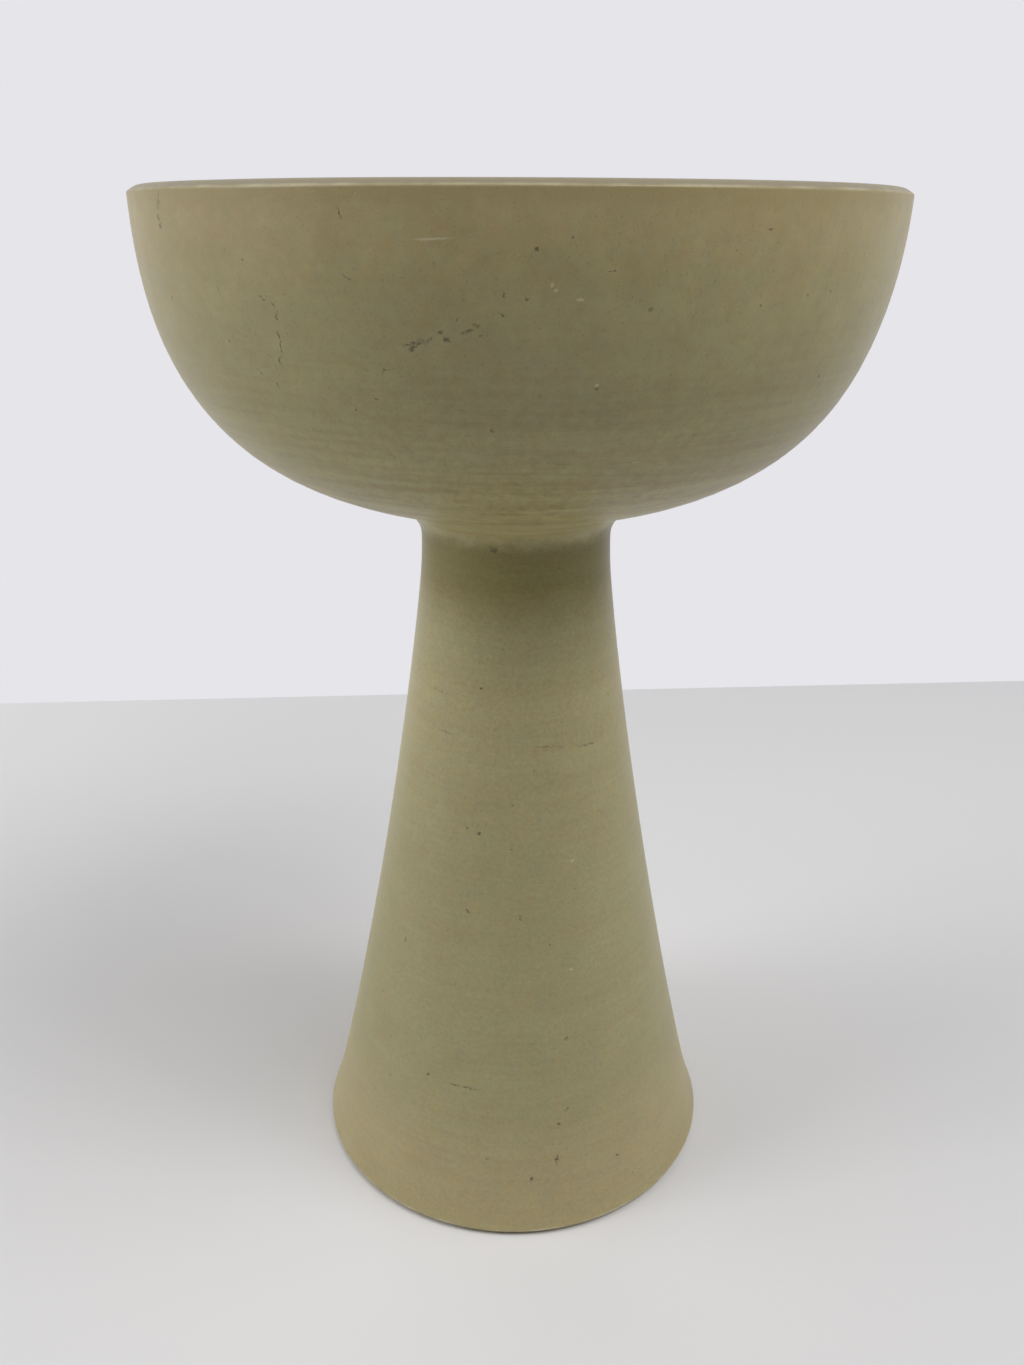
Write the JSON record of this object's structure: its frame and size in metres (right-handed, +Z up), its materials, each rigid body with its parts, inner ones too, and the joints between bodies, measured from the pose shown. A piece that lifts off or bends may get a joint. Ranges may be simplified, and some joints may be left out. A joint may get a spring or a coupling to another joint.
{
  "type": "ikebana suiban",
  "caption": "Round, deep ikebana bowl on a tall hollow conical pedestal, with a bevelled lip and a flat inner floor for a flower holder, in satin glazed stoneware.",
  "frame": {"origin": "centre of the foot ring, on the surface that the vessel stands on", "axes": "+Z up along the turning axis; -Y faces the viewer of the picture and +X is to that viewer's right"},
  "size_m": [0.1788, 0.1788, 0.2706],
  "materials": {
    "glazed_stoneware": "satin olive-beige glaze, fine turning lines and soft mottling",
    "bare_clay": "bare fired clay, dry and matte"
  },
  "bodies": {
    "root": {"bowl": "glazed_stoneware", "slip_layer": "bare_clay", "neck_coil": "glazed_stoneware", "pedestal": "glazed_stoneware"}
  },
  "joints": []
}
